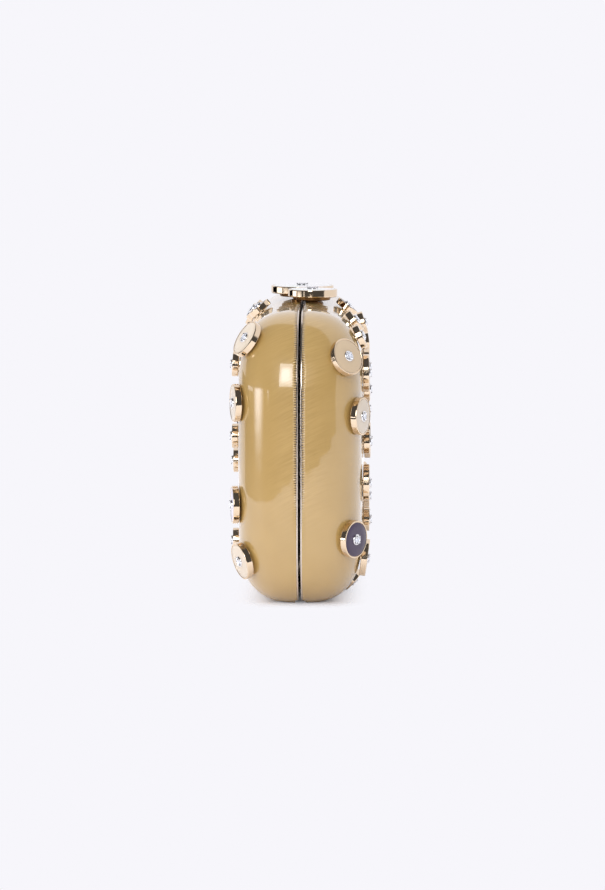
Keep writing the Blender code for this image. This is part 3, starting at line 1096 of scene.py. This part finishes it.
@dataclass
class SeamFrame:
    """One pale gold frame: a thin rounded bead that shows at the seam and a web inside the shell."""

    half: Half
    sizes: CaseSizes
    bead_share: float = 0.62
    bead_steps: int = 6
    leather_gap: float = 0.00005
    ease: float = 0.00002

    def build(self, finishes: Finishes) -> None:
        """Build the frame, its rim up to the shell's leather, and dress it.

        Args:
            finishes: The finished materials.
        """
        sizes = self.sizes
        back, front = sizes.frame_back, sizes.shell_base - sizes.leather_wrap - self.leather_gap
        deep = sizes.lining_base - sizes.gap
        outer, inner = sizes.web_inset, sizes.web_inset + sizes.web_height
        bead = (front - back) * self.bead_share
        turns = [QUARTER * step / self.bead_steps for step in range(self.bead_steps + 1)]
        profile = [(bead * (1 - math.sin(turn)), back + bead * (1 - math.cos(turn))) for turn in turns]
        profile += [(0, front - self.ease), (self.ease, front)]
        profile += [(outer, front), (outer, deep), (inner, deep), (inner, back)]
        bm = cut_bottom(Form(sizes, 0, back).ring(tuple(profile)), sizes)
        name = self.half.label + "_frame"
        add_piece(name + "_plated", bm, self.half, [finishes.champagne], node=name)


@dataclass
class LiningTray:
    """The satin tray that lines one half."""

    half: Half
    sizes: CaseSizes
    bead: float = 0.0003

    def build(self, finishes: Finishes) -> None:
        """Build the lining and dress it.

        Args:
            finishes: The finished materials.
        """
        sizes = self.sizes
        bm = Form(sizes, sizes.lining_inset, sizes.lining_base).tray(sizes.lining_wall, self.bead)
        name = self.half.label + "_lining"
        add_piece(name + "_satin", bm, self.half, [finishes.satin], node=name)


@dataclass
class HingeLeaf:
    """One hinge leaf: a strip on the frame's web with rolled knuckles round the pin."""

    half: Half
    sizes: CaseSizes
    knuckle_radius: float = 0.0016
    bore: float = 0.0010
    count: int = 5
    knuckle_edge: float = 0.00012
    strip_near: float = 0.0013
    strip_far: float = 0.0040
    strip_low: float = 0.0034
    strip_high: float = 0.0042
    neck_near: float = 0.0003
    neck_far: float = 0.0016
    neck_low: float = 0.0029
    block_edge: float = 0.0001

    def build(self, finishes: Finishes) -> None:
        """Build the leaf and dress it.

        Args:
            finishes: The finished materials.
        """
        sizes = self.sizes
        reach = sizes.hinge_length / 2
        pitch = sizes.hinge_length / self.count
        bm = bmesh.new()
        near = (-reach, self.strip_near, self.strip_low)
        self.add_block(bm, near, (reach, self.strip_far, self.strip_high))
        first = 0 if self.half is Half.BACK else 1
        for index in range(first, self.count, 2):
            low = -reach + pitch * index + sizes.gap / 2
            high = low + pitch - sizes.gap
            place = Matrix.Translation(((low + high) / 2, 0, sizes.hinge_height))
            joined(bm, self.knuckle((high - low) / 2), place @ Matrix.Rotation(QUARTER, 4, "Y"))
            near = (low + sizes.gap, self.neck_near, self.neck_low)
            self.add_block(bm, near, (high - sizes.gap, self.neck_far, self.strip_high))
        name = self.half.label + "_hinge_leaf"
        add_piece(name + "_plated", bm, self.half, [finishes.hinge], node=name)

    def knuckle(self, half_width: float) -> BMesh:
        """Make a knuckle along Z.

        Args:
            half_width: Half the knuckle's width.

        Returns:
            The tube, its edges eased.
        """
        edge, bore, outside = self.knuckle_edge, self.bore, self.knuckle_radius
        section = ((bore, edge), (bore + edge, 0), (outside - edge, 0), (outside, edge))
        lower = tuple((radius, rise - half_width) for radius, rise in section)
        upper = tuple((radius, half_width - rise) for radius, rise in reversed(section))
        return spun((*lower, *upper, lower[0]), 40)

    def add_block(self, bm: BMesh, low: Point, high: Point) -> None:
        """Add a block with eased edges to the leaf.

        Args:
            bm: The leaf.
            low: The block's lowest corner.
            high: The block's highest corner.
        """
        eased = block(low, high)
        bmesh.ops.bevel(
            eased,
            geom=eased.edges[:],
            offset=self.block_edge,
            segments=2,
            profile=0.5,
            affect="EDGES",
            material=-1,
        )
        joined(bm, eased)


@dataclass
class HingePin:
    """The pin through all the knuckles, rounded at both ends."""

    sizes: CaseSizes
    radius: float = 0.0007
    overhang: float = 0.0008
    nose_steps: int = 5

    def build(self, finishes: Finishes) -> None:
        """Build the pin and dress it.

        Args:
            finishes: The finished materials.
        """
        reach = self.sizes.hinge_length / 2 + self.overhang
        turns = [QUARTER * step / self.nose_steps for step in range(self.nose_steps + 1)]
        nose = [(self.radius * math.sin(t), reach - self.radius * (1 - math.cos(t))) for t in turns]
        tail = [(radius, -height) for radius, height in reversed(nose)]
        place = Matrix.Translation((0, 0, self.sizes.hinge_height)) @ Matrix.Rotation(QUARTER, 4, "Y")
        bm = spun((*nose, *tail), 24)
        add_piece("hinge_pin_steel", bm, Half.BACK, [finishes.silver], place, "hinge_pin")


def brilliant(radius: float, table: float, height: float, depth: float, facets: int) -> BMesh:
    """Make a faceted stone with its girdle at Z = 0.

    Args:
        radius: Radius of the girdle.
        table: Radius of the flat top.
        height: Height of the top over the girdle.
        depth: Depth of the foot below the girdle.
        facets: Number of facets round it.

    Returns:
        The closed stone.
    """
    bm = bmesh.new()
    foot, low = radius * 0.25, Matrix.Translation((0, 0, -depth / 2))
    bmesh.ops.create_cone(
        bm, cap_ends=True, segments=facets, radius1=foot, radius2=radius, depth=depth, matrix=low
    )
    top = [face for face in bm.faces if face.normal.z > 0.9]
    bmesh.ops.delete(bm, geom=top, context="FACES_ONLY")
    ring = [edge for edge in bm.edges if edge.is_boundary]
    # Each ring over the girdle: its share of the radius and of the height, and its turn in facets.
    for share, rise, turn in ((0.80, 0.55, 0.5), (table / radius, 1.0, 0.0)):
        place = Matrix.Translation((0, 0, height * rise)) @ Matrix.Rotation(math.tau / facets * turn, 4, "Z")
        made = bmesh.ops.create_circle(bm, segments=facets, radius=radius * share, matrix=place)["verts"]
        upper = list({edge for point in made for edge in point.link_edges})
        bmesh.ops.bridge_loops(bm, edges=ring + upper)
        ring = upper
    bmesh.ops.edgeloop_fill(bm, edges=ring)
    bmesh.ops.triangulate(bm, faces=[face for face in bm.faces if len(face.verts) == 4])
    face_outwards(bm)
    return bm


@dataclass
class Setting:
    """A crystal in its silver bezel with claws. Its shares are of its radius and of its height."""

    radius: float
    stone_radius: float
    height: float
    face: float
    facets: int = 10
    claws: int = 4
    sunk: float = 0.00005
    rim_share: float = 0.55
    girdle_share: float = 0.42
    foot_share: float = 0.28
    table_share: float = 0.55
    claw_share: float = 0.17
    claw_lean: float = math.radians(-38)

    def build(self, name: str, half: Half, place: Matrix, finishes: Finishes, node: str = "") -> None:
        """Build the bezel and its crystal and dress them.

        Args:
            name: The start of their names.
            half: The half that carries them.
            place: Where they go on the back half.
            finishes: The finished materials.
            node: The CAD node that the crystal replaces, if it does.
        """
        add_piece(name + "_bezel", self.metal(), half, [finishes.silver], place)
        crystal = [finishes.crystal]
        add_piece(name + "_crystal", self.stone(), half, crystal, place, node, sharp=4)

    def metal(self) -> BMesh:
        """Make the bezel and its claws.

        Returns:
            The bezel, a shallow cup for the stone, with the claws over its rim.
        """
        face, rim, cup = self.face, self.height * self.rim_share, self.stone_radius
        wall = (self.radius - cup) * 0.55
        profile = (
            (0, face - self.sunk), (self.radius, face - self.sunk), (self.radius, face + rim * 0.45),
            (self.radius - wall * 0.35, face + rim * 0.85), (self.radius - wall * 0.7, face + rim),
            (cup + wall * 0.2, face + rim * 0.9), (cup, face + rim * 0.6),
            (cup * 0.5, face + rim * 0.12), (0, face + rim * 0.1),
        )
        bm = spun(profile, 40)
        out = Matrix.Translation((cup * 1.02, 0, face + rim * 1.02))
        lean = Matrix.Rotation(self.claw_lean, 4, "Y") @ Matrix.Diagonal((1.5, 0.9, 0.8, 1))
        for index in range(self.claws):
            place = Matrix.Rotation(math.tau * (index + 0.5) / self.claws, 4, "Z") @ out @ lean
            claw = bmesh.new()
            size = self.radius * self.claw_share
            bmesh.ops.create_uvsphere(claw, u_segments=10, v_segments=6, radius=size, matrix=place)
            joined(bm, claw)
        return bm

    def stone(self) -> BMesh:
        """Make the crystal, a little smaller than the bezel's opening.

        Returns:
            The cut crystal, its girdle within the bezel.
        """
        girdle = self.face + self.height * self.girdle_share
        rise = self.face + self.height - girdle
        radius, table = self.stone_radius * 0.97, self.stone_radius * self.table_share
        bm = brilliant(radius, table, rise, self.height * self.foot_share, self.facets)
        bm.transform(Matrix.Translation((0, 0, girdle)))
        return bm


@dataclass
class FaceDisc:
    """One enamelled disc: a turned plate with its stud, the enamel in its recess and a set crystal."""

    name: str
    half: Half
    seat: Matrix
    size: DiscSize
    tone: Tone
    gap: float = 0.0003
    thickness: float = 0.0025
    recess: float = 0.00032
    lip: float = 0.00052
    lip_ease: float = 0.00004
    lip_drop: float = 0.00005
    groove: float = 0.00016
    edge: float = 0.00022
    stud_radius: float = 0.0013
    stud_depth: float = 0.0002
    bezel_radius: float = 0.0022
    stone_radius: float = 0.0016
    stone_height: float = 0.0010

    def build(self, finishes: Finishes) -> None:
        """Build the plate, its enamel and its crystal, and dress them.

        Args:
            finishes: The finished materials.
        """
        (radius, sides), face = self.size.value, self.gap + self.thickness
        floor, inner, stud = face - self.recess, radius - self.lip, self.stud_radius
        profile = (
            (0, -self.stud_depth), (stud, -self.stud_depth), (stud, self.gap),
            *turned_side(radius, self.edge, self.gap, face),
            (inner + self.lip_ease, face), (inner, face - self.lip_drop), (inner, floor), (0, floor),
        )
        plate = spun(profile, sides)
        add_piece(
            self.name + "_plate", plate, self.half, [finishes.gold], self.seat, self.name
        )
        rim, low = inner - self.groove, floor - OVERLAP
        profile = (
            (0, low), (rim, low), (rim, face - 0.00007),
            (rim - 0.00010, face - 0.00002), (rim * 0.6, face + 0.00003), (0, face + 0.00004),
        )
        enamel, slot = [finishes.enamels[self.tone]], self.tone.value[0]
        add_piece(self.name + "_enamel", spun(profile, sides), self.half, enamel, self.seat)
        setting = Setting(self.bezel_radius, self.stone_radius, self.stone_height, face)
        setting.build(self.name, self.half, self.seat, finishes)


@dataclass
class DiscField:
    """Every enamelled disc of one face."""

    half: Half
    sizes: CaseSizes

    def build(self, finishes: Finishes) -> None:
        """Build the discs at their places on the shell.

        Args:
            finishes: The finished materials.
        """
        form = Form(self.sizes, 0, self.sizes.shell_base)
        rows = SHARED_DISCS + OWN_DISCS[self.half]
        for index, (across, up, size, tone) in enumerate(rows, start=1):
            x, z = across * self.sizes.length / 2, up * self.sizes.height
            turn = form.normal_at(x, z).to_track_quat("Z", "Y").to_matrix().to_4x4()
            seat = Matrix.Translation((x, form.depth_at(x, z), z)) @ turn
            name = f"{self.half.label}_disc_{index:02d}"
            FaceDisc(name, self.half, seat, size, tone).build(finishes)


@dataclass
class KissLock:
    """One half of the kiss lock: a post on the frame and a large pearl disc that reaches past the seam."""

    half: Half
    sizes: CaseSizes
    thickness: float = 0.0030
    lift: float = 0.0023
    pass_gap: float = 0.0004
    lip: float = 0.0009
    edge: float = 0.0003
    recess: float = 0.0004
    groove: float = 0.00008
    boss_share: float = 0.72
    boss_depth: float = 0.0015
    under_plate: float = 0.00012
    bezel_radius: float = 0.0024
    bezel_height: float = 0.00013
    stone_radius: float = 0.0019
    stone_height: float = 0.00072

    def build(self, finishes: Finishes) -> None:
        """Build the post, the disc, its pearl and its crystal, and dress them.

        Args:
            finishes: The finished materials.
        """
        name = self.half.label + "_clasp"
        radius, lean = CLASP_DISCS[self.half]
        along = -radius - self.pass_gap / 2
        post_y = self.sizes.frame_back + self.sizes.rim_thickness + self.sizes.web_depth / 2
        place = Matrix.Translation((along, post_y, self.sizes.height))
        # The post is painted dark brown, as the shade under the disc.
        bm = self.post()
        add_piece(
            name + "_post_turned", bm, self.half, [finishes.painted_shade_brass], place, name + "_post"
        )
        place = Matrix.Translation((along, -lean, self.sizes.height + self.lift))
        # The boss under the disc gets the same dark brown of painted shade.
        plated = [finishes.gold, finishes.painted_shade_brass]
        bm = self.disc(radius)
        add_piece(name + "_disc_rim", bm, self.half, plated, place, name + "_disc")
        bm = self.pearl(radius)
        add_piece(name + "_pearl", bm, self.half, [finishes.pearl], place)
        face = self.thickness + self.bezel_height
        setting = Setting(self.bezel_radius, self.stone_radius, self.stone_height, face, 12, 6)
        setting.build(name, self.half, place, finishes, name + "_stone")

    def post(self) -> BMesh:
        """Make the turned post, from its foot on the shell to a collar under the disc.

        Returns:
            The post along Z.
        """
        top = self.lift - 0.00005
        profile = (
            (0, -0.0004), (0.0021, -0.0004), (0.0021, 0.0008), (0.0020, 0.0010), (0.0015, 0.0010),
            (0.0014, 0.0012), (0.0014, self.lift - 0.0005), (0.0017, top), (0, top),
        )
        return spun(profile, 40)

    def disc(self, radius: float) -> BMesh:
        """Make the turned disc with the boss under it.

        Args:
            radius: The disc's radius.

        Returns:
            The disc in the first material and its boss in the second.
        """
        edge, face, inner = self.edge, self.thickness, radius - self.lip
        floor = face - self.recess
        side = turned_side(radius, edge, 0, face)
        bm = spun(((0, 0), *side, (inner, face), (inner, floor), (0, floor)), 128)
        boss, top = radius * self.boss_share, 2 * OVERLAP
        foot, shoulder = -self.boss_depth, -self.under_plate
        profile = (
            (0, foot), (boss - edge, foot), (boss, foot + edge), (boss, shoulder),
            (radius - edge, shoulder), (radius - edge, top), (0, top),
        )
        joined(bm, spun(profile, 128, 1))
        return bm

    def pearl(self, radius: float) -> BMesh:
        """Make the slightly domed slice of pearl in the disc.

        Args:
            radius: The disc's radius.

        Returns:
            The closed slice.
        """
        face, rim = self.thickness, radius - self.lip - self.groove
        low = face - self.recess - OVERLAP
        profile = (
            (0, low), (rim, low), (rim, face - 0.00005), (rim - 0.0003, face + 0.0001),
            (rim * 0.6, face + 0.00025), (0, face + 0.0003),
        )
        return spun(profile, 128)


def aimed(place: Point, aim: Point) -> Euler:
    """Give the turn that points a lamp or camera from its place to its aim."""
    return (Vector(aim) - Vector(place)).to_track_quat("-Z", "Y").to_euler()


@dataclass(frozen=True)
class WindowLamp:
    """The soft light of a tall window.

    Its radiance says how bright its face is, where 1 is white paper.
    """

    place: Point = (1.58, -0.31, 0.72)
    aim: Point = (0, 0, 0.057)
    size: Pair = (0.56, 1.05)
    radiance: float = 4.2

    def build(self) -> None:
        """Build the lamp."""
        lamp = bpy.data.lights.new("window_lamp", "AREA")
        lamp.shape = "RECTANGLE"
        lamp.size, lamp.size_y = self.size
        lamp.energy = self.radiance * math.pi * self.size[0] * self.size[1]
        placed = add_object("window_lamp", lamp)
        placed.location = self.place
        placed.rotation_euler = aimed(self.place, self.aim)


@dataclass(frozen=True)
class Card:
    """An upright card with soft edges that faces the object, lit or black, for the gloss to mirror.

    The radiance says how bright its middle is, where 1 is white paper and 0 is black. It fades over
    a share of its width at each upright edge and over a share of its height at the foot. At the top
    it fades over the same share as at the sides, or over less where the lit band would be too thin.
    """

    name: str
    place: Point
    size: Pair
    radiance: float
    side_fade: float
    foot_fade: float
    lit_band: float = 0.14

    def build(self) -> None:
        """Build the card."""
        facing = Vector((-self.place[0], -self.place[1], 0)).to_track_quat("Z", "Y").to_matrix().to_4x4()
        scale = Matrix.Diagonal((self.size[0] / 2, self.size[1] / 2, 1, 1))
        bm = bmesh.new()
        bm.loops.layers.uv.new("card_face")
        stand = Matrix.Translation(self.place) @ facing @ scale
        bmesh.ops.create_grid(bm, x_segments=1, y_segments=1, size=1, matrix=stand, calc_uvs=True)
        mesh = to_mesh(self.name, bm, [self.cloth()])
        add_object(self.name, mesh)

    def cloth(self) -> bpy.types.Material:
        """Make the card's cloth, which only the object sees.

        Returns:
            The glowing or black material.
        """
        material = bpy.data.materials.new(self.name + "_cloth")
        material.use_nodes = True
        tree = material.node_tree
        tree.nodes.clear()
        face = add_node(tree, "UVMap", {"uv_map": "card_face"})
        side, foot = self.side_fade, self.foot_fade
        crown = max(foot + self.lit_band, 1 - side)
        glow = self.radiance
        for axis, start, end in (("X", 0, side), ("X", 1, 1 - side), ("Y", 0, foot), ("Y", 1, crown)):
            part = add_node(tree, "SeparateXYZ", {"Vector": face}, axis)
            band = {"interpolation_type": "SMOOTHSTEP", "From Min": start, "From Max": end}
            share = add_node(tree, "MapRange", {"Value": part, **band})
            glow = add_node(tree, "Math", {"operation": "MULTIPLY", 0: glow, 1: share})
        lit = add_node(tree, "Emission", {"Color": linear(PAPER), "Strength": glow})
        seen = add_node(tree, "LightPath", output="Is Camera Ray")
        surface = add_node(tree, "MixShader", {0: seen, 1: lit, 2: add_node(tree, "BsdfTransparent")})
        set_up(tree, tree.nodes.new("ShaderNodeOutputMaterial"), {"Surface": surface})
        return material


@dataclass(frozen=True)
class Studio:
    """The pale floor, the window, the cards and the room that the gloss mirrors, and the camera."""

    eye: Point = (1.1888, 0.0230, 0.2000)
    aim: Point = (0.069, 0.00096, 0.0634)
    lens: float = 116.07
    frame_height: float = 36.0
    paper_radius: float = 0.51
    paper_middle: Pair = (0.01, 0.19)
    ambient: float = 0.68
    overhead: float = 0.74
    window_side: float = 0.36
    dark_room: float = 0.08
    dark_side: Point = (0.83, -0.56, 0)
    dark_lean: float = 0.33
    dark_edge: float = 0.04
    below_floor: Pair = (-0.14, -0.11)

    def build(self) -> None:
        """Build the studio."""
        self.add_floor()
        self.add_room()
        WindowLamp().build()
        Card("window_pane", (1.88, -0.369, 0.857), (0.62, 1.14), 4.4, 0.30, 0.30).build()
        Card("rim_card", (0.05, -1.20, 0.030), (0.90, 0.09), 2.4, 0.10, 0.50).build()
        Card("soft_strip", (0.205, -0.40, 0.0460), (0.28, 0.098), 6.6, 0.45, 0.59).build()
        Card("thin_strip", (0.490, -0.40, 0.0500), (0.04, 0.070), 4.0, 0.30, 0.60).build()
        Card("black_flag", (-0.81, -1.19, 0.05), (0.70, 0.14), 0.0, 0.10, 0.50).build()
        self.add_camera()

    def add_floor(self) -> None:
        """Add the paper floor."""
        bm = bmesh.new()
        place = Matrix.Translation((*self.paper_middle, 0))
        bmesh.ops.create_circle(bm, cap_ends=True, segments=128, radius=self.paper_radius, matrix=place)
        mesh = to_mesh("paper_floor", bm, [CoatedPaper().make()])
        add_object("paper_floor", mesh)

    def add_room(self) -> None:
        """Add the room: a plain background, a soft all-round light and what the gloss mirrors."""
        world = bpy.data.worlds.new("studio_room")
        bpy.context.scene.world = world
        world.use_nodes = True
        tree = world.node_tree
        tree.nodes.clear()
        way = add_node(tree, "TexCoord", output="Generated")
        out = add_node(tree, "SeparateXYZ", {"Vector": way}, "Y")
        up = add_node(tree, "SeparateXYZ", {"Vector": way}, "Z")
        above = add_node(tree, "Math", {"operation": "MAXIMUM", 0: up, 1: 0})

        towards = {"operation": "DOT_PRODUCT", 0: way, 1: self.dark_side}
        level = add_node(tree, "VectorMath", towards, "Value")
        forward = add_node(tree, "Math", {"operation": "MULTIPLY_ADD", 0: above, 1: self.dark_lean, 2: level})
        band = {"interpolation_type": "SMOOTHSTEP", "From Min": self.dark_edge, "From Max": -self.dark_edge}
        wall = add_node(tree, "MapRange", {"Value": forward, **band, "To Min": self.dark_room})
        mirrored = add_node(tree, "Background", {"Color": linear(PAPER), "Strength": wall})

        lift = {0: above, 1: self.overhead, 2: self.ambient}
        strength = add_node(tree, "Math", {"operation": "MULTIPLY_ADD", **lift})
        lift = {0: out, 1: -self.window_side, 2: strength}
        strength = add_node(tree, "Math", {"operation": "MULTIPLY_ADD", **lift})
        band = {"From Min": self.below_floor[0], "From Max": self.below_floor[1]}
        over_floor = add_node(tree, "MapRange", {"Value": up, **band})
        strength = add_node(tree, "Math", {"operation": "MULTIPLY", 0: strength, 1: over_floor})
        soft = add_node(tree, "Background", {"Color": (1.0, 1.0, 1.0, 1.0), "Strength": strength})
        plain = add_node(tree, "Background", {"Color": linear(PAPER), "Strength": 1.0})

        straight = add_node(tree, "LightPath", output="Is Camera Ray")
        through = add_node(tree, "LightPath", output="Is Transmission Ray")
        through = add_node(tree, "Math", {"operation": "MAXIMUM", 0: straight, 1: through})
        glossy = add_node(tree, "LightPath", output="Is Glossy Ray")
        light = add_node(tree, "MixShader", {0: glossy, 1: soft, 2: mirrored})
        shown = add_node(tree, "MixShader", {0: through, 1: light, 2: plain})
        set_up(tree, tree.nodes.new("ShaderNodeOutputWorld"), {"Surface": shown})

    def add_camera(self) -> None:
        """Add the camera at the photo's viewpoint."""
        data = bpy.data.cameras.new("photo_camera")
        data.sensor_fit = "VERTICAL"
        data.sensor_height = self.frame_height
        data.lens = self.lens
        camera = add_object("photo_camera", data)
        camera.location = self.eye
        camera.rotation_euler = aimed(self.eye, self.aim)
        bpy.context.scene.camera = camera


def main() -> None:
    """Build the clutch and its studio."""
    logging.basicConfig(level=logging.INFO, format="%(message)s")
    bpy.context.scene.view_settings.view_transform = "Standard"
    sizes = CaseSizes()
    finishes = Finishes()
    for half in Half:
        for assembly in (HalfShell, SeamFrame, LiningTray, HingeLeaf, DiscField, KissLock):
            assembly(half, sizes).build(finishes)
    HingePin(sizes).build(finishes)
    Studio().build()


if __name__ == "__main__":
    main()
